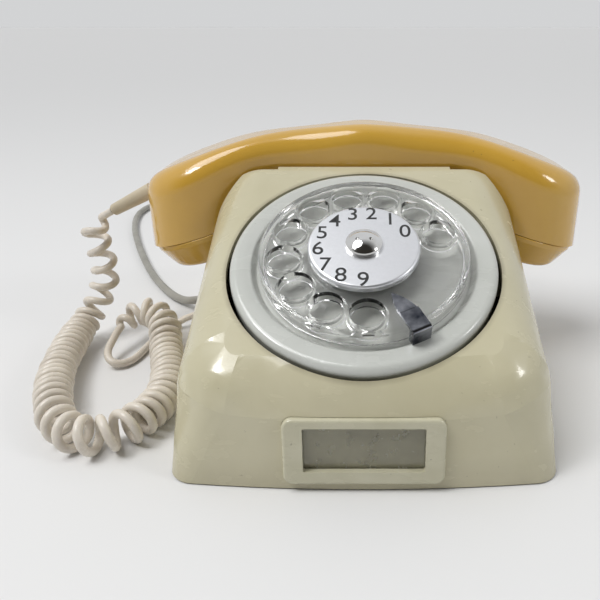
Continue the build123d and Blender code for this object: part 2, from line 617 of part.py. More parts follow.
# ================================================================ handset
shell = handset_shell()
print("handset", shell.is_valid, len(shell.solids()), round(shell.volume))
save("handset_shell", shell)
for side, name in ((-1, "mouthpiece"), (1, "earpiece")):
    save(name + "_cap", handset_cap(side))
save("transmitter_capsule", capsule(-1))
save("receiver_capsule", capsule(1))
save("handset_relief", relief())

# ================================================================ cords
save("tail_grommet", grommet(TAIL_EXIT_Y, STRAND_D))
save("line_grommet", grommet(LINE_EXIT_Y, LINE_D))
cord_tube("handset_curl", CURL_ROUTE, CURL_OD)
cord_tube("handset_cord_tail", TAIL_ROUTE, STRAND_D)
cord_tube("line_cord", LINE_ROUTE, LINE_D)
cord_tube("line_lead", LEAD_ROUTE, LINE_D)
save("line_coil", ring(COIL_MEAN_R + COIL_BAND / 2, COIL_MEAN_R - COIL_BAND / 2, 0.8, COIL_H, *COIL_AT))
tie_y = COIL_AT[1] - COIL_MEAN_R
hole = COIL_BAND / 2 + 0.3
tie = block((-9, -1), (tie_y - hole - 0.9, tie_y + hole + 0.9), (0, COIL_H + 0.8))
save("cord_tie", tie - block((-10, 0), (tie_y - hole, tie_y + hole), (0.8, COIL_H)))
plug = Pos(*PLUG_AT, 0) * extrude(RectangleRounded(34, 26, 5), 20)
plug = fillet(plug.edges().group_by(Axis.Z)[-1] + plug.edges().group_by(Axis.Z)[0], 1.5)
pin_x = PLUG_AT[0] + 17
save("plug_pins", *[block((pin_x, pin_x + 16), (PLUG_AT[1] + y - 1, PLUG_AT[1] + y + 1), (z, z + 5))
                    for y in (-7, 7) for z in (3.5, 11.5)])
to_rest = (Align.CENTER, Align.CENTER, Align.MIN)
sleeve = Pos(PLUG_AT[0] - 16.5, PLUG_AT[1], 10) * Rot(0, -90, 0) * Cone(5.2, 3.2, 17.5, align=to_rest)
save("plug_body", plug + sleeve)
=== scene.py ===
import math

import bmesh
import bpy
from mathutils import Matrix, Vector


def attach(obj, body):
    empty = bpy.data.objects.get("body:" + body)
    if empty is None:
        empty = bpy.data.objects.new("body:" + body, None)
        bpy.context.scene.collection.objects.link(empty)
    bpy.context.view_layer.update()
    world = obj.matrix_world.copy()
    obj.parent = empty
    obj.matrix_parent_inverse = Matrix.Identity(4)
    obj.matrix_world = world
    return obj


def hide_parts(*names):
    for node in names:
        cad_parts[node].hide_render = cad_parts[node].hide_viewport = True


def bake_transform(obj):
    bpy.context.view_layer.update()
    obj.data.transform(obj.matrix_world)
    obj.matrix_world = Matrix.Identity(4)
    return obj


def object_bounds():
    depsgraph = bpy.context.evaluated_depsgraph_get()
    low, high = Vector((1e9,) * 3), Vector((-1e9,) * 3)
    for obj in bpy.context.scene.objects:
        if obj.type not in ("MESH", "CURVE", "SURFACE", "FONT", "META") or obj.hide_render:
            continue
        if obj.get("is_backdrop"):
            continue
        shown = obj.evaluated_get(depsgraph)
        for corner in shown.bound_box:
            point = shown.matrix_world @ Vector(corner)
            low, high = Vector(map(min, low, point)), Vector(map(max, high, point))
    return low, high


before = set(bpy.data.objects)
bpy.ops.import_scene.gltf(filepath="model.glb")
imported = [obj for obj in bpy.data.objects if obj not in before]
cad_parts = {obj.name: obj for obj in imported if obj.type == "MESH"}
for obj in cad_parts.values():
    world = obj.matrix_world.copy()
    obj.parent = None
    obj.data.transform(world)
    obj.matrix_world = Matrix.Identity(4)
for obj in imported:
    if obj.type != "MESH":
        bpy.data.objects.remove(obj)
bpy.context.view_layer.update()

# ---------------------------------------------------------------- camera
# A hand-held height in front of the telephone, looking down on the dial, with the lens axis
# a little right of the middle of the frame.
lens = bpy.data.cameras.new("camera")
lens.lens = 38.47
lens.sensor_width = 36
lens.shift_x = -0.1067
lens.clip_start = 0.01
lens.clip_end = 50
camera = bpy.data.objects.new("camera", lens)
camera.location = (0, -0.30467, 0.16394)
camera.rotation_euler = (math.radians(66.73), 0, 0)
bpy.context.collection.objects.link(camera)
bpy.context.scene.camera = camera


# ---------------------------------------------------------------- studio
# A pale table top in a white room with a broad soft skylight, a softbox high on the left and a
# smaller one on the right. The room is dark high in front, which gives the chrome its depth.
def softbox(name, place, aim, size, power):
    """A rectangular lamp at the given place, turned towards the point that it lights."""
    lamp = bpy.data.lights.new(name, "AREA")
    lamp.shape = "RECTANGLE"
    lamp.size, lamp.size_y = size
    lamp.energy = power
    box = bpy.data.objects.new(name, lamp)
    box.location = place
    box.rotation_euler = (Vector(aim) - Vector(place)).to_track_quat("-Z", "Y").to_euler()
    bpy.context.collection.objects.link(box)


softbox("softbox_left", (-0.62, -0.32, 0.85), (0, 0, 0.05), (0.26, 0.2), 2.4)
softbox("softbox_right", (0.75, -0.3, 0.6), (0, 0, 0.05), (0.16, 0.2), 1.2)

skylight = bpy.data.lights.new("skylight", "SUN")
skylight.energy = 1.4
skylight.angle = math.radians(34)
skylight_holder = bpy.data.objects.new("skylight", skylight)
skylight_holder.rotation_euler = (math.radians(7), math.radians(-24), 0)
bpy.context.collection.objects.link(skylight_holder)

room = bpy.data.worlds.new("room")
room.use_nodes = True
sky = room.node_tree.nodes["Background"]
sky.inputs["Strength"].default_value = 0.66
looking = room.node_tree.nodes.new("ShaderNodeTexCoord")
toward_front = room.node_tree.nodes.new("ShaderNodeVectorMath")
toward_front.operation = "DOT_PRODUCT"
toward_front.inputs[1].default_value = (0, -0.82, 0.57)
shade_edge = room.node_tree.nodes.new("ShaderNodeMapRange")
shade_edge.inputs["From Min"].default_value = 0.36
shade_edge.inputs["From Max"].default_value = 0.8
height = room.node_tree.nodes.new("ShaderNodeSeparateXYZ")
above_table = room.node_tree.nodes.new("ShaderNodeMapRange")
above_table.inputs["From Min"].default_value = 0.02
above_table.inputs["From Max"].default_value = 0.2
dark_corner = room.node_tree.nodes.new("ShaderNodeMath")
dark_corner.operation = "MULTIPLY"
walls = room.node_tree.nodes.new("ShaderNodeMix")
walls.data_type = "RGBA"
walls.inputs["A"].default_value = (0.98, 0.99, 1.0, 1)
walls.inputs["B"].default_value = (0.05, 0.045, 0.04, 1)
room.node_tree.links.new(looking.outputs["Generated"], toward_front.inputs[0])
room.node_tree.links.new(toward_front.outputs["Value"], shade_edge.inputs["Value"])
room.node_tree.links.new(looking.outputs["Generated"], height.inputs["Vector"])
room.node_tree.links.new(height.outputs["Z"], above_table.inputs["Value"])
room.node_tree.links.new(shade_edge.outputs["Result"], dark_corner.inputs[0])
room.node_tree.links.new(above_table.outputs["Result"], dark_corner.inputs[1])
room.node_tree.links.new(dark_corner.outputs["Value"], walls.inputs["Factor"])
room.node_tree.links.new(walls.outputs["Result"], sky.inputs["Color"])
bpy.context.scene.world = room
bpy.context.scene.view_settings.view_transform = "Standard"

table_mesh = bmesh.new()
bmesh.ops.create_grid(table_mesh, x_segments=2, y_segments=2, size=40)
table_data = bpy.data.meshes.new("table_top")
table_mesh.to_mesh(table_data)
table_mesh.free()
table_top = bpy.data.objects.new("table_top", table_data)
bpy.context.collection.objects.link(table_top)
pale = bpy.data.materials.new("pale_table")
pale.use_nodes = True
pale.node_tree.nodes["Principled BSDF"].inputs["Base Color"].default_value = (0.78, 0.78, 0.78, 1)
pale.node_tree.nodes["Principled BSDF"].inputs["Roughness"].default_value = 0.6
table_data.materials.append(pale)
table_top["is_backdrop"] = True


# ---------------------------------------------------------------- curly handset cord
# A round four-wire cord wound on a mandrel and set by heat, so that it hangs as a coil: stretched
# under the handset, closed along the table, fanned where it bends, and straight for its last stretch.
def smooth_line(points):
    """The points along a smooth spline whose control points are given in millimetres."""
    guide = bpy.data.curves.new("guide", "CURVE")
    guide.dimensions = "3D"
    guide.resolution_u = 16
    run = guide.splines.new("NURBS")
    run.points.add(len(points) - 1)
    for knot, (x, y, z) in zip(run.points, points):
        knot.co = (x / 1000, y / 1000, z / 1000, 1)
    run.order_u = 3
    run.use_endpoint_u = True
    holder = bpy.data.objects.new("guide", guide)
    bpy.context.collection.objects.link(holder)
    bpy.context.view_layer.update()
    line = bpy.data.meshes.new_from_object(holder.evaluated_get(bpy.context.evaluated_depsgraph_get()))
    found = [vertex.co.copy() for vertex in line.vertices]
    bpy.data.objects.remove(holder)
    bpy.data.curves.remove(guide)
    bpy.data.meshes.remove(line)
    return found


def cord_curve(name, points, diameter, sides):
    """A round cord as one smooth spline through the given control points, in metres."""
    curve = bpy.data.curves.new(name, "CURVE")
    curve.dimensions = "3D"
    curve.resolution_u = 3
    curve.bevel_depth = diameter / 2
    curve.bevel_resolution = sides
    curve.use_fill_caps = True
    run = curve.splines.new("NURBS")
    run.points.add(len(points) - 1)
    for knot, place in zip(run.points, points):
        knot.co = (*place, 1)
    run.order_u = 3
    run.use_endpoint_u = True
    cord = bpy.data.objects.new(name, curve)
    bpy.context.collection.objects.link(cord)
    return cord


def cord_cover(name, clean, grimy, roughness):
    """The smooth vinyl cover of a cord, grey where hands and the table have rubbed it."""
    cover = bpy.data.materials.new(name)
    cover.use_nodes = True
    tree = cover.node_tree
    shader = tree.nodes["Principled BSDF"]
    place = tree.nodes.new("ShaderNodeTexCoord")
    grime = tree.nodes.new("ShaderNodeTexNoise")
    grime.inputs["Scale"].default_value = 55
    grime.inputs["Detail"].default_value = 5
    blend_colour = tree.nodes.new("ShaderNodeValToRGB")
    blend_colour.color_ramp.elements[0].position = 0.38
    blend_colour.color_ramp.elements[0].color = (*clean, 1)
    blend_colour.color_ramp.elements[1].position = 0.72
    blend_colour.color_ramp.elements[1].color = (*grimy, 1)
    rub = tree.nodes.new("ShaderNodeTexNoise")
    rub.inputs["Scale"].default_value = 320
    rub.inputs["Detail"].default_value = 3
    dull = tree.nodes.new("ShaderNodeMapRange")
    dull.inputs["From Min"].default_value = 0.3
    dull.inputs["From Max"].default_value = 0.7
    dull.inputs["To Min"].default_value = roughness - 0.08
    dull.inputs["To Max"].default_value = roughness + 0.12
    skin = tree.nodes.new("ShaderNodeBump")
    skin.inputs["Strength"].default_value = 0.08
    skin.inputs["Distance"].default_value = 0.0002
    tree.links.new(place.outputs["Object"], grime.inputs["Vector"])
    tree.links.new(place.outputs["Object"], rub.inputs["Vector"])
    tree.links.new(grime.outputs["Fac"], blend_colour.inputs["Fac"])
    tree.links.new(blend_colour.outputs["Color"], shader.inputs["Base Color"])
    tree.links.new(rub.outputs["Fac"], dull.inputs["Value"])
    tree.links.new(dull.outputs["Result"], shader.inputs["Roughness"])
    tree.links.new(rub.outputs["Fac"], skin.inputs["Height"])
    tree.links.new(skin.outputs["Normal"], shader.inputs["Normal"])
    shader.inputs["Subsurface Weight"].default_value = 0.05
    shader.inputs["Subsurface Radius"].default_value = (0.002, 0.0015, 0.001)
    return cover


def between(here, stops):
    """A value that runs smoothly from stop to stop along the cord, each stop (distance, value)."""
    for (start, low), (end, high) in zip(stops, stops[1:]):
        if here <= end:
            share = max(0.0, (here - start) / (end - start))
            return low + (high - low) * share * share * (3 - 2 * share)
    return stops[-1][1]


STRAND = 0.004
curl_middle = smooth_line([
    (-134.9, 30, 72.1), (-147, 30, 66), (-145, 30, 51), (-144, 31, 37), (-148, 30, 24), (-154, 22, 13),
    (-156, 8, 9), (-154, -8, 8.8), (-151, -25, 8.8), (-146, -43, 8.8), (-138, -62, 8.8), (-129, -77, 8.8),
    (-116, -86, 8.8), (-103, -83, 8.8), (-94, -71, 8.8), (-90.5, -55, 8.8), (-93, -37, 8.8), (-99, -20, 9),
    (-104, -4, 11), (-108, 11, 15.5), (-120, 21, 18.5), (-132, 14, 15), (-134, 0, 9),
    (-134.5, -9, 6.5), (-129, -16, 3.5), (-121.5, -11, 2.2), (-119, 2, 2.1), (-117.5, 16, 2.1),
    (-114, 28, 2.1), (-109, 35, 3.6), (-102.5, 36.8, 6.6), (-96, 36, 9)])
CURL_RADIUS = [(0.004, 0.0), (0.014, 0.0054), (0.06, 0.0058), (0.09, 0.0066), (0.308, 0.0066),
               (0.322, 0.0058), (0.334, 0.0)]
CURL_PITCH = [(0.0, 0.012), (0.055, 0.0105), (0.078, 0.0047), (0.145, 0.0047), (0.165, 0.0085),
              (0.2, 0.0082), (0.222, 0.0047), (0.272, 0.0048), (0.29, 0.0068), (0.33, 0.0075)]
STEPS_A_TURN = 16
STRAIGHT_BELOW = 0.0004
STRAIGHT_STEP = 0.004
STRAIGHT_TWIST = 0.3

strand_points = []
gone = 0.0
turned = 0.6
wait = 0.0
side = Vector((0, 0, 1))
for here, ahead in zip(curl_middle, curl_middle[1:]):
    run = ahead - here
    along = run.normalized()
    side = (side - along * side.dot(along)).normalized()
    across = along.cross(side)
    while wait <= run.length:
        at = gone + wait
        radius = between(at, CURL_RADIUS)
        radius *= 1 + 0.03 * math.sin(turned * 0.37) + 0.02 * math.sin(turned * 0.113)
        out = side * math.cos(turned) + across * math.sin(turned)
        strand_points.append(here + along * wait + out * radius)
        step = between(at, CURL_PITCH) / STEPS_A_TURN if radius > STRAIGHT_BELOW else STRAIGHT_STEP
        turned += 2 * math.pi / STEPS_A_TURN if radius > STRAIGHT_BELOW else STRAIGHT_TWIST
        wait += step
    wait -= run.length
    gone += run.length
strand_points[-1] = curl_middle[-1]

wound = cord_curve("handset_cord_wound", strand_points, STRAND, 3)
bpy.context.view_layer.update()
depsgraph = bpy.context.evaluated_depsgraph_get()
strand_skin = bpy.data.meshes.new_from_object(wound.evaluated_get(depsgraph))
wound.data.bevel_depth = 0
wound.data.use_fill_caps = False
bpy.context.view_layer.update()
depsgraph = bpy.context.evaluated_depsgraph_get()
strand_line = bpy.data.meshes.new_from_object(wound.evaluated_get(depsgraph))
bpy.data.objects.remove(wound)
curly_cord = bpy.data.objects.new("handset_cord", strand_skin)
bpy.context.collection.objects.link(curly_cord)
for face in strand_skin.polygons:
    face.use_smooth = True
vinyl_beige = cord_cover("vinyl_beige", (0.78, 0.72, 0.63), (0.63, 0.57, 0.49), 0.3)
strand_skin.materials.clear()
strand_skin.materials.append(vinyl_beige)
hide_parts("handset_curl", "handset_cord_tail")
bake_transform(curly_cord)

# ---------------------------------------------------------------- line cord
# The round cord to the wall: out of the left side, in a wide curve behind the telephone, and its
# spare length wound flat in two layers, with a tie, before it runs into the plug.
COIL_X, COIL_Y = -5, 168
COIL_STEPS = 116
STEPS_ROUND = 18
CORD_APART = 5
WIDE_TURN, TIGHT_TURN = 35.5, 20.5
LOWER_LAYER, UPPER_LAYER = 3.3, 8.3
CLIMB_FROM, CLIMB_TO = 3.0, 3.4
coil_turns = []
for step in range(0, COIL_STEPS):
    angle = math.radians(173.6 + step * 360 / STEPS_ROUND)
    turn = step / STEPS_ROUND
    if turn < CLIMB_FROM:
        radius, height = WIDE_TURN - CORD_APART * turn, LOWER_LAYER
    elif turn < CLIMB_TO:
        radius, height = TIGHT_TURN, LOWER_LAYER + CORD_APART * (turn - CLIMB_FROM) / (CLIMB_TO - CLIMB_FROM)
    else:
        radius, height = TIGHT_TURN + CORD_APART * (turn - CLIMB_TO), UPPER_LAYER
    coil_turns.append((COIL_X + radius * math.cos(angle), COIL_Y + radius * math.sin(angle), height))
line_points = [
    (-96, 58, 9), (-104, 59.5, 7.2), (-112, 65.5, 4.2), (-122, 76, 2.5), (-134, 92, 2.5), (-148, 115, 2.5),
    (-163, 145, 2.5), (-182, 187, 2.5), (-202, 238, 2.5), (-212, 285, 2.5), (-198, 322, 2.5),
    (-162, 331, 2.5), (-128, 308, 2.5), (-105, 268, 2.5), (-80, 236, 2.5), (-57, 212, 2.5), (-45, 191, 2.8),
    *coil_turns, (24, 146.6, 8.2), (31, 154.5, 8.4), (40, 162, 9.2), (50, 165, 10)]
line_cord = cord_curve("line_cord_run", [(x / 1000, y / 1000, z / 1000) for x, y, z in line_points], 0.005, 3)
vinyl_grey = cord_cover("vinyl_grey", (0.33, 0.32, 0.28), (0.25, 0.24, 0.205), 0.35)
line_cord.data.materials.append(vinyl_grey)
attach(line_cord, "base")
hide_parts("line_cord", "line_coil", "line_lead")


# ---------------------------------------------------------------- housing
# One ivory moulding that covers the works, glossy once: it has yellowed in patches, has fine rubs
# and dark specks, it is darker towards the bottom edge, and painted shade darkens it round the dial opening.
def dress(material, *names):
    """Give each of the named nodes this material and no other."""
    for name in names:
        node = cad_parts[name]
        node.data.materials.clear()
        node.data.materials.append(material)


def moulded(name, clean, aged, roughness, patch=16.0, speck=0.0, coat=0.35, skin=0.04):
    """A moulded glossy plastic: patches of ageing, small dark specks, rubs that dull the gloss."""
    plastic = bpy.data.materials.new(name)
    plastic.use_nodes = True
    tree = plastic.node_tree
    shader = tree.nodes["Principled BSDF"]
    place = tree.nodes.new("ShaderNodeTexCoord")
    ageing = tree.nodes.new("ShaderNodeTexNoise")
    ageing.inputs["Scale"].default_value = patch
    ageing.inputs["Detail"].default_value = 6
    ageing.inputs["Roughness"].default_value = 0.6
    tone = tree.nodes.new("ShaderNodeValToRGB")
    tone.color_ramp.elements[0].position = 0.36
    tone.color_ramp.elements[0].color = (*clean, 1)
    tone.color_ramp.elements[1].position = 0.7
    tone.color_ramp.elements[1].color = (*aged, 1)
    dots = tree.nodes.new("ShaderNodeTexNoise")
    dots.inputs["Scale"].default_value = 420
    dots.inputs["Detail"].default_value = 2
    dot_mask = tree.nodes.new("ShaderNodeMapRange")
    dot_mask.inputs["From Min"].default_value = 0.735
    dot_mask.inputs["From Max"].default_value = 0.78
    dot_mask.inputs["To Max"].default_value = speck
    dotted = tree.nodes.new("ShaderNodeMix")
    dotted.data_type = "RGBA"
    dotted.inputs["B"].default_value = (0.1, 0.075, 0.045, 1)
    stretch = tree.nodes.new("ShaderNodeMapping")
    stretch.inputs["Scale"].default_value = (60, 150, 150)
    stretch.inputs["Rotation"].default_value = (0.3, 0.2, 0.5)
    rubs = tree.nodes.new("ShaderNodeTexNoise")
    rubs.inputs["Scale"].default_value = 1
    rubs.inputs["Detail"].default_value = 6
    dull = tree.nodes.new("ShaderNodeMapRange")
    dull.inputs["From Min"].default_value = 0.42
    dull.inputs["From Max"].default_value = 0.78
    dull.inputs["To Min"].default_value = roughness
    dull.inputs["To Max"].default_value = roughness + 0.14
    grain = tree.nodes.new("ShaderNodeBump")
    grain.inputs["Strength"].default_value = skin
    grain.inputs["Distance"].default_value = 0.0003
    tree.links.new(place.outputs["Object"], ageing.inputs["Vector"])
    tree.links.new(place.outputs["Object"], dots.inputs["Vector"])
    tree.links.new(place.outputs["Object"], stretch.inputs["Vector"])
    tree.links.new(stretch.outputs["Vector"], rubs.inputs["Vector"])
    tree.links.new(ageing.outputs["Fac"], tone.inputs["Fac"])
    tree.links.new(dots.outputs["Fac"], dot_mask.inputs["Value"])
    tree.links.new(dot_mask.outputs["Result"], dotted.inputs["Factor"])
    tree.links.new(tone.outputs["Color"], dotted.inputs["A"])
    tree.links.new(dotted.outputs["Result"], shader.inputs["Base Color"])
    tree.links.new(rubs.outputs["Fac"], dull.inputs["Value"])
    tree.links.new(dull.outputs["Result"], shader.inputs["Roughness"])
    tree.links.new(ageing.outputs["Fac"], grain.inputs["Height"])
    tree.links.new(grain.outputs["Normal"], shader.inputs["Normal"])
    shader.inputs["Coat Weight"].default_value = coat
    shader.inputs["Coat Roughness"].default_value = 0.06
    return plastic


DIAL_AT = Vector((0, -0.04884, 0.07273))
DIAL_LEAN = math.radians(27)

ivory = moulded("ivory_shell", (0.61, 0.57, 0.405), (0.55, 0.51, 0.34), 0.2, speck=0.3)
ivory_tree = ivory.node_tree
ivory_shader = ivory_tree.nodes["Principled BSDF"]
clean_shell = ivory_shader.inputs["Base Color"].links[0].from_socket
shell_place = ivory_tree.nodes.new("ShaderNodeTexCoord")
round_dial = ivory_tree.nodes.new("ShaderNodeMapping")
round_dial.vector_type = "TEXTURE"
round_dial.inputs["Location"].default_value = DIAL_AT
round_dial.inputs["Rotation"].default_value = (DIAL_LEAN, 0, 0)
flat = ivory_tree.nodes.new("ShaderNodeVectorMath")
flat.operation = "MULTIPLY"
flat.inputs[1].default_value = (1, 1, 0)
reach = ivory_tree.nodes.new("ShaderNodeVectorMath")
reach.operation = "LENGTH"
# Painted shade: a dark ring on the housing round the edge of the dial opening, fading outwards.
opening_shade = ivory_tree.nodes.new("ShaderNodeMapRange")
opening_shade.inputs["From Min"].default_value = 0.0582
opening_shade.inputs["From Max"].default_value = 0.0606
opening_shade.inputs["To Min"].default_value = 0.85
opening_shade.inputs["To Max"].default_value = 0.0
split = ivory_tree.nodes.new("ShaderNodeSeparateXYZ")
# Darker towards the bottom of the housing, fading out 14 mm above the table.
bottom_darkening = ivory_tree.nodes.new("ShaderNodeMapRange")
bottom_darkening.inputs["From Min"].default_value = 0.0005
bottom_darkening.inputs["From Max"].default_value = 0.014
bottom_darkening.inputs["To Min"].default_value = 0.4
bottom_darkening.inputs["To Max"].default_value = 0.0
# The stronger of the painted shade round the opening and the darkening at the bottom, broken up by noise,
# mixes in a dark brown.
shade_and_bottom_dark = ivory_tree.nodes.new("ShaderNodeMath")
shade_and_bottom_dark.operation = "MAXIMUM"
darkening_noise = ivory_tree.nodes.new("ShaderNodeTexNoise")
darkening_noise.inputs["Scale"].default_value = 90
darkening_noise.inputs["Detail"].default_value = 6
darkening_amount = ivory_tree.nodes.new("ShaderNodeMath")
darkening_amount.operation = "MULTIPLY"
darkened_shell = ivory_tree.nodes.new("ShaderNodeMix")
darkened_shell.data_type = "RGBA"
darkened_shell.inputs["B"].default_value = (0.16, 0.13, 0.08, 1)
ivory_tree.links.new(shell_place.outputs["Object"], round_dial.inputs["Vector"])
ivory_tree.links.new(shell_place.outputs["Object"], split.inputs["Vector"])
ivory_tree.links.new(shell_place.outputs["Object"], darkening_noise.inputs["Vector"])
ivory_tree.links.new(round_dial.outputs["Vector"], flat.inputs[0])
ivory_tree.links.new(flat.outputs["Vector"], reach.inputs[0])
ivory_tree.links.new(reach.outputs["Value"], opening_shade.inputs["Value"])
ivory_tree.links.new(split.outputs["Z"], bottom_darkening.inputs["Value"])
ivory_tree.links.new(opening_shade.outputs["Result"], shade_and_bottom_dark.inputs[0])
ivory_tree.links.new(bottom_darkening.outputs["Result"], shade_and_bottom_dark.inputs[1])
ivory_tree.links.new(shade_and_bottom_dark.outputs["Value"], darkening_amount.inputs[0])
ivory_tree.links.new(darkening_noise.outputs["Fac"], darkening_amount.inputs[1])
ivory_tree.links.new(darkening_amount.outputs["Value"], darkened_shell.inputs["Factor"])
ivory_tree.links.new(clean_shell, darkened_shell.inputs["A"])
ivory_tree.links.new(darkened_shell.outputs["Result"], ivory_shader.inputs["Base Color"])
dress(ivory, "housing")


# ---------------------------------------------------------------- metal finishes, base plate and screws
# The base plate and the brackets are bright zinc-plated steel with the crystal bloom of the plating,
# and screws of the same steel hold the plate to the housing's four bosses.
def plated(name, bright, dim, roughness, scale, brushed=(1, 1, 1)):
    """A metal whose tone and gloss drift a little, with a grain stretched along its brushing."""
    metal = bpy.data.materials.new(name)
    metal.use_nodes = True
    tree = metal.node_tree
    shader = tree.nodes["Principled BSDF"]
    shader.inputs["Metallic"].default_value = 1.0
    place = tree.nodes.new("ShaderNodeTexCoord")
    stretch = tree.nodes.new("ShaderNodeMapping")
    stretch.inputs["Scale"].default_value = brushed
    bloom = tree.nodes.new("ShaderNodeTexNoise")
    bloom.inputs["Scale"].default_value = scale
    bloom.inputs["Detail"].default_value = 5
    tone = tree.nodes.new("ShaderNodeValToRGB")
    tone.color_ramp.elements[0].position = 0.35
    tone.color_ramp.elements[0].color = (*dim, 1)
    tone.color_ramp.elements[1].position = 0.65
    tone.color_ramp.elements[1].color = (*bright, 1)
    dull = tree.nodes.new("ShaderNodeMapRange")
    dull.inputs["From Min"].default_value = 0.3
    dull.inputs["From Max"].default_value = 0.7
    dull.inputs["To Min"].default_value = roughness + 0.08
    dull.inputs["To Max"].default_value = max(0.02, roughness - 0.04)
    tree.links.new(place.outputs["Object"], stretch.inputs["Vector"])
    tree.links.new(stretch.outputs["Vector"], bloom.inputs["Vector"])
    tree.links.new(bloom.outputs["Fac"], tone.inputs["Fac"])
    tree.links.new(tone.outputs["Color"], shader.inputs["Base Color"])
    tree.links.new(bloom.outputs["Fac"], dull.inputs["Value"])
    tree.links.new(dull.outputs["Result"], shader.inputs["Roughness"])
    return metal


zinc = plated("zinc_plate", (0.68, 0.68, 0.66), (0.5, 0.5, 0.49), 0.34, 130)
dress(zinc, "base_plate", "base_screws", "ringer_bracket", "hook_bracket", "hook_bar", "dial_legs",
      "gong_posts", "dial_pillars", "impulse_shaft", "governor_shaft", "dial_shaft")

# ---------------------------------------------------------------- rubber feet
# Four black rubber studs pushed through the base plate, dusty where they meet the table.
rubber = moulded("black_rubber", (0.022, 0.022, 0.022), (0.05, 0.048, 0.045), 0.6, patch=120, coat=0.0,
                 skin=0.2)
dress(rubber, "rubber_feet")

# ---------------------------------------------------------------- card window
# A lipped ivory frame clipped into the apron, a thin clear pane behind its window, and a blank grey
# card under the pane, darkened by dust and with a few scratches.
frame_ivory = moulded("frame_ivory", (0.6, 0.575, 0.43), (0.52, 0.495, 0.35), 0.24, patch=45, speck=0.4)
dress(frame_ivory, "card_frame")

pane_clear = bpy.data.materials.new("pane_clear")
pane_clear.use_nodes = True
pane_shader = pane_clear.node_tree.nodes["Principled BSDF"]
pane_shader.inputs["Base Color"].default_value = (0.95, 0.95, 0.92, 1)
pane_shader.inputs["Transmission Weight"].default_value = 1.0
pane_shader.inputs["IOR"].default_value = 1.49
pane_place = pane_clear.node_tree.nodes.new("ShaderNodeTexCoord")
pane_scratch = pane_clear.node_tree.nodes.new("ShaderNodeTexNoise")
pane_scratch.inputs["Scale"].default_value = 260
pane_scratch.inputs["Detail"].default_value = 6
pane_dull = pane_clear.node_tree.nodes.new("ShaderNodeMapRange")
pane_dull.inputs["From Min"].default_value = 0.45
pane_dull.inputs["From Max"].default_value = 0.75
pane_dull.inputs["To Min"].default_value = 0.08
pane_dull.inputs["To Max"].default_value = 0.4
pane_clear.node_tree.links.new(pane_place.outputs["Object"], pane_scratch.inputs["Vector"])
pane_clear.node_tree.links.new(pane_scratch.outputs["Fac"], pane_dull.inputs["Value"])
pane_clear.node_tree.links.new(pane_dull.outputs["Result"], pane_shader.inputs["Roughness"])
dress(pane_clear, "card_pane")

card = moulded("grey_card", (0.6, 0.57, 0.42), (0.47, 0.44, 0.32), 0.7, patch=60, speck=0.8, coat=0.0)
dress(card, "name_card")

# ---------------------------------------------------------------- dial ring
# The white moulded ring that fills the dial opening and carries the stop, whiter than the housing
# and scuffed by fingers, with dust in the well under the wheel.
ring_white = moulded("ring_white", (0.62, 0.635, 0.6), (0.55, 0.565, 0.525), 0.22, patch=30, speck=0.3)
dress(ring_white, "dial_ring")


# ---------------------------------------------------------------- finger wheel
# A clear acrylic moulding with ten finger holes and a deep rim, hazed by fine scratches from
# finger nails along its holes.
def clear_acrylic(name, tint, haze):
    """Clear acrylic of the given tint, with the fine scratches of use that haze it."""
    clear = bpy.data.materials.new(name)
    clear.use_nodes = True
    tree = clear.node_tree
    shader = tree.nodes["Principled BSDF"]
    shader.inputs["Base Color"].default_value = (*tint, 1)
    shader.inputs["Transmission Weight"].default_value = 1.0
    shader.inputs["IOR"].default_value = 1.49
    place = tree.nodes.new("ShaderNodeTexCoord")
    scratches = tree.nodes.new("ShaderNodeTexNoise")
    scratches.inputs["Scale"].default_value = 180
    scratches.inputs["Detail"].default_value = 8
    dull = tree.nodes.new("ShaderNodeMapRange")
    dull.inputs["From Min"].default_value = 0.48
    dull.inputs["From Max"].default_value = 0.8
    dull.inputs["To Min"].default_value = 0.02
    dull.inputs["To Max"].default_value = haze
    tree.links.new(place.outputs["Object"], scratches.inputs["Vector"])
    tree.links.new(scratches.outputs["Fac"], dull.inputs["Value"])
    tree.links.new(dull.outputs["Result"], shader.inputs["Roughness"])
    return clear


acrylic = clear_acrylic("wheel_acrylic", (0.985, 0.985, 0.98), 0.16)
dress(acrylic, "finger_wheel")

# ---------------------------------------------------------------- number plate
# A spun aluminium disc on top of the wheel, satin all over with the faint rings of its spinning,
# and the ten numerals printed on it in black.
satin = plated("satin_plate", (0.86, 0.87, 0.9), (0.76, 0.77, 0.8), 0.36, 240)
satin_tree = satin.node_tree
spun_place = satin_tree.nodes.new("ShaderNodeTexCoord")
spun_centre = satin_tree.nodes.new("ShaderNodeMapping")
spun_centre.vector_type = "TEXTURE"
spun_centre.inputs["Location"].default_value = DIAL_AT
spun_centre.inputs["Rotation"].default_value = (DIAL_LEAN, 0, 0)
spun_rings = satin_tree.nodes.new("ShaderNodeTexWave")
spun_rings.wave_type = "RINGS"
spun_rings.rings_direction = "Z"
spun_rings.inputs["Scale"].default_value = 900
spun_rings.inputs["Distortion"].default_value = 0.6
spun_skin = satin_tree.nodes.new("ShaderNodeBump")
spun_skin.inputs["Strength"].default_value = 0.05
spun_skin.inputs["Distance"].default_value = 0.0001
satin_tree.links.new(spun_place.outputs["Object"], spun_centre.inputs["Vector"])
satin_tree.links.new(spun_centre.outputs["Vector"], spun_rings.inputs["Vector"])
satin_tree.links.new(spun_rings.outputs["Fac"], spun_skin.inputs["Height"])
satin_tree.links.new(spun_skin.outputs["Normal"], satin_tree.nodes["Principled BSDF"].inputs["Normal"])
dress(satin, "number_plate")

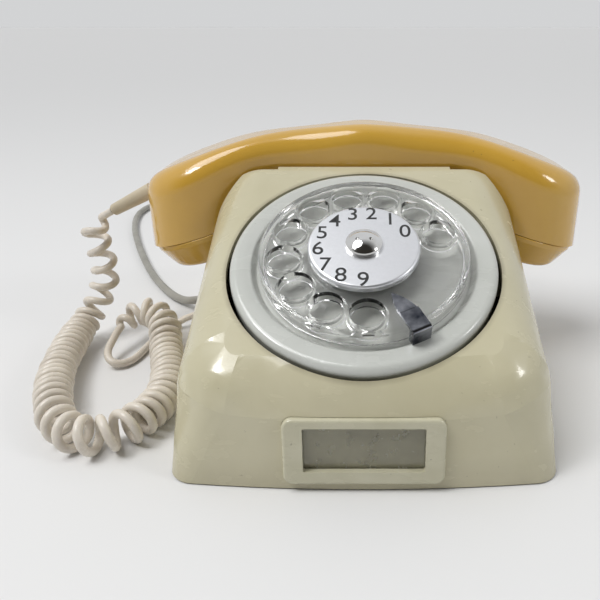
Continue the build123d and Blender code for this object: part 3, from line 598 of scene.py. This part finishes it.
PLATE_FACE = 0.0088
PRINT_HEIGHT = 0.0104
NUMERALS = [("0", 25), ("1", 54), ("2", 80.5), ("3", 105), ("4", 131), ("5", 158), ("6", 186),
            ("7", 215.5), ("8", 241), ("9", 269)]
on_plate = Matrix.Translation(DIAL_AT) @ Matrix.Rotation(DIAL_LEAN, 4, "X")
print_mesh = bmesh.new()
for numeral, angle in NUMERALS:
    type_face = bpy.data.curves.new("numeral", "FONT")
    type_face.body = numeral
    type_face.size = PRINT_HEIGHT
    type_face.align_x = "CENTER"
    type_face.align_y = "CENTER"
    type_face.extrude = 0.00004
    type_face.offset = 0.00004
    stamp = bpy.data.objects.new("numeral", type_face)
    bpy.context.collection.objects.link(stamp)
    bpy.context.view_layer.update()
    stamped = bpy.data.meshes.new_from_object(stamp.evaluated_get(bpy.context.evaluated_depsgraph_get()))
    low = Vector((min(v.co.x for v in stamped.vertices), min(v.co.y for v in stamped.vertices), 0))
    high = Vector((max(v.co.x for v in stamped.vertices), max(v.co.y for v in stamped.vertices), 0))
    spot = Vector((0.019 * math.cos(math.radians(angle)), 0.019 * math.sin(math.radians(angle)), PLATE_FACE))
    stamped.transform(on_plate @ Matrix.Translation(spot - (low + high) / 2))
    print_mesh.from_mesh(stamped)
    bpy.data.objects.remove(stamp)
    bpy.data.meshes.remove(stamped)
print_data = bpy.data.meshes.new("dial_numerals")
print_mesh.to_mesh(print_data)
print_mesh.free()
numerals = bpy.data.objects.new("dial_numerals", print_data)
bpy.context.collection.objects.link(numerals)
black_print = moulded("black_print", (0.012, 0.012, 0.013), (0.03, 0.03, 0.03), 0.4, patch=300, coat=0.0)
print_data.materials.append(black_print)
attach(numerals, "dial")

# ---------------------------------------------------------------- cap and finger stop
# The domed cap in the middle of the plate and the hooked stop are chromium-plated brass, mirror
# bright on the cap; the stop is painted dark in patches, a painted reflection of the dark room.
chrome = plated("chrome_plate", (0.86, 0.86, 0.86), (0.74, 0.73, 0.71), 0.07, 160)
dress(chrome, "wheel_cap")
# Painted reflection: the stop's base colour runs from mid grey to near black in patches, standing in for the
# dark room in its chrome.
stop_painted_reflections = plated("stop_painted_reflections", (0.45, 0.46, 0.5), (0.03, 0.035, 0.05), 0.1, 90)
dress(stop_painted_reflections, "finger_stop")

# ---------------------------------------------------------------- dial works
# Behind the dial: a steel carrier and bridge, brass wheels and pinions that drive the impulse cam and
# the governor, a spiral return spring, and the leaf contacts in a brown phenolic block.
nickel = plated("nickel_plate", (0.72, 0.7, 0.66), (0.6, 0.58, 0.54), 0.25, 90)
brass = plated("worked_brass", (0.75, 0.56, 0.26), (0.62, 0.44, 0.19), 0.28, 150)
spring_steel = plated("spring_steel", (0.42, 0.43, 0.46), (0.3, 0.31, 0.34), 0.3, 200)
phenolic = moulded("brown_phenolic", (0.11, 0.05, 0.025), (0.07, 0.035, 0.02), 0.4, patch=80, coat=0.1)
dress(nickel, "dial_carrier", "dial_bridge")
dress(brass, "drive_gear", "impulse_pinion", "impulse_gear", "impulse_cam", "governor_pinion",
      "governor_rotor")
dress(spring_steel, "return_spring", "hook_springs")
dress(phenolic, "impulse_contacts", "hook_contacts", "terminal_strip")

# ---------------------------------------------------------------- circuit
# A brown laminate board on four posts with the induction coil, wound in varnished copper, and two
# rolled capacitors in waxed sleeves.
laminate = moulded("board_laminate", (0.24, 0.14, 0.06), (0.18, 0.1, 0.045), 0.45, patch=70, coat=0.15)
copper = plated("varnished_copper", (0.62, 0.25, 0.1), (0.45, 0.17, 0.07), 0.32, 60, (1, 22, 1))
wax_sleeve = moulded("waxed_sleeve", (0.62, 0.45, 0.18), (0.5, 0.35, 0.14), 0.38, patch=110, coat=0.2)
post_black = moulded("post_black", (0.03, 0.03, 0.03), (0.05, 0.05, 0.05), 0.45, patch=90, coat=0.0)
dress(laminate, "circuit_board")
dress(copper, "induction_coil")
dress(wax_sleeve, "capacitors")
dress(post_black, "board_posts")

# ---------------------------------------------------------------- ringer and hook switch
# Two spun gongs on posts with a clapper between them, its coils wound in dark enamelled wire, and
# two white plungers that the handset presses down onto the hook bar.
gong_metal = plated("gong_metal", (0.66, 0.6, 0.48), (0.54, 0.48, 0.37), 0.22, 50)
enamel_wire = plated("enamelled_wire", (0.3, 0.11, 0.05), (0.2, 0.07, 0.035), 0.35, 60, (1, 26, 1))
plunger_white = moulded("plunger_white", (0.7, 0.7, 0.66), (0.6, 0.59, 0.53), 0.3, patch=60)
dress(gong_metal, "gong_left", "gong_right")
dress(enamel_wire, "ringer_coils")
dress(nickel, "clapper")
dress(plunger_white, "hook_plungers")

# ---------------------------------------------------------------- handset
# A hollow mustard moulding with a screwed cap over each cup, brighter and glossier than the housing,
# with pores and small dark marks from use.
mustard = moulded("mustard_shell", (0.64, 0.38, 0.058), (0.58, 0.33, 0.044), 0.13, patch=13, speck=0.35,
                  coat=0.6, skin=0.03)
dress(mustard, "handset_shell", "mouthpiece_cap", "earpiece_cap")
dress(nickel, "transmitter_capsule", "receiver_capsule")

# ---------------------------------------------------------------- reliefs, tie and plug
# Tapered vinyl reliefs where the cords leave the handset and the housing, a tie round the wound
# length, and a two-part plug with four brass pins.
relief_vinyl = cord_cover("relief_vinyl", (0.6, 0.52, 0.38), (0.5, 0.43, 0.31), 0.36)
dress(relief_vinyl, "handset_relief", "tail_grommet")
dress(vinyl_grey, "line_grommet")
tie_vinyl = moulded("tie_vinyl", (0.05, 0.05, 0.05), (0.08, 0.08, 0.08), 0.45, patch=200, coat=0.0)
dress(tie_vinyl, "cord_tie")
plug_grey = moulded("plug_grey", (0.46, 0.44, 0.38), (0.38, 0.36, 0.3), 0.34, patch=40, speck=0.3)
dress(plug_grey, "plug_body")
dress(brass, "plug_pins")

# ---------------------------------------------------------------- bounds
# The box round the visible objects of this scene, leaving out the table top.
low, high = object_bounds()
